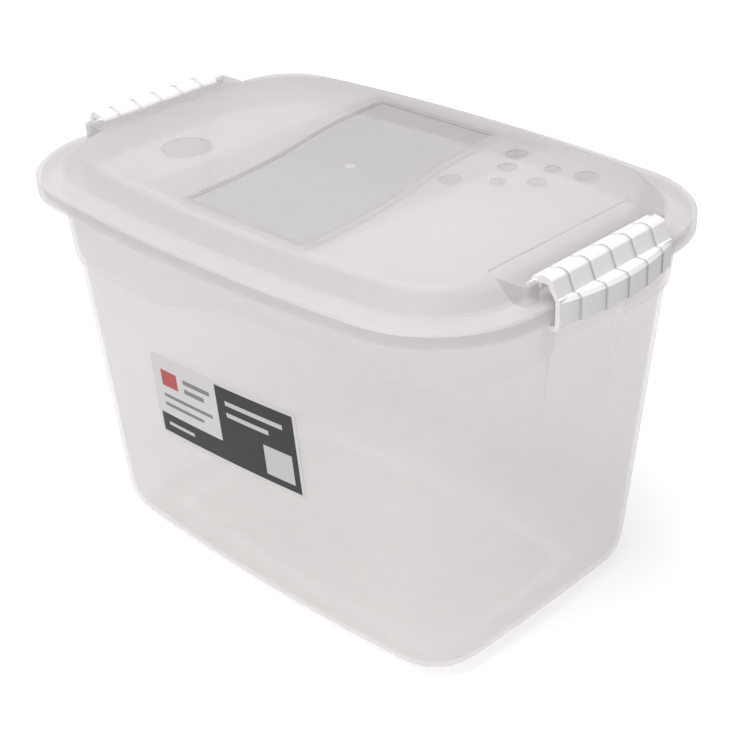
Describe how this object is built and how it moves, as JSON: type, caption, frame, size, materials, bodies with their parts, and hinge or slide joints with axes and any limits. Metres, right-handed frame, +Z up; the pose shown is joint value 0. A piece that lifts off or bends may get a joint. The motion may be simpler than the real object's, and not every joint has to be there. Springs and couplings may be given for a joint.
{
  "type": "plastic storage box",
  "caption": "Translucent plastic storage box with tapered walls, a lift-off lid and a swinging white latch at each end.",
  "frame": {"origin": "under the middle of the box, on the plane it stands on", "axes": "+X runs along the box to the right-hand latch, -Y faces the long front wall with the label, +Z is up"},
  "size_m": [0.2528, 0.1642, 0.1656],
  "materials": {
    "clear_body": "satin",
    "clear_lid": "satin",
    "white_latch": "satin",
    "label_paper": "printed film"
  },
  "bodies": {
    "box": {"box": "clear_body", "label": "label_paper"},
    "lid": {"lid": "clear_lid"},
    "latch_right": {"latch_right": "white_latch"},
    "latch_left": {"latch_left": "white_latch"}
  },
  "joints": [
    {"name": "lid_lift", "type": "slide", "parent": "box", "child": "lid", "axis": [0, 0, 1], "range_m": [0, 0.12]},
    {"name": "latch_right_swing", "type": "hinge", "parent": "lid", "child": "latch_right", "pos_m": [0.1119, 0, 0.1622], "axis": [0, -1, 0], "range_deg": [0, 95]},
    {"name": "latch_left_swing", "type": "hinge", "parent": "lid", "child": "latch_left", "pos_m": [-0.1119, 0, 0.1622], "axis": [0, 1, 0], "range_deg": [0, 95]}
  ]
}
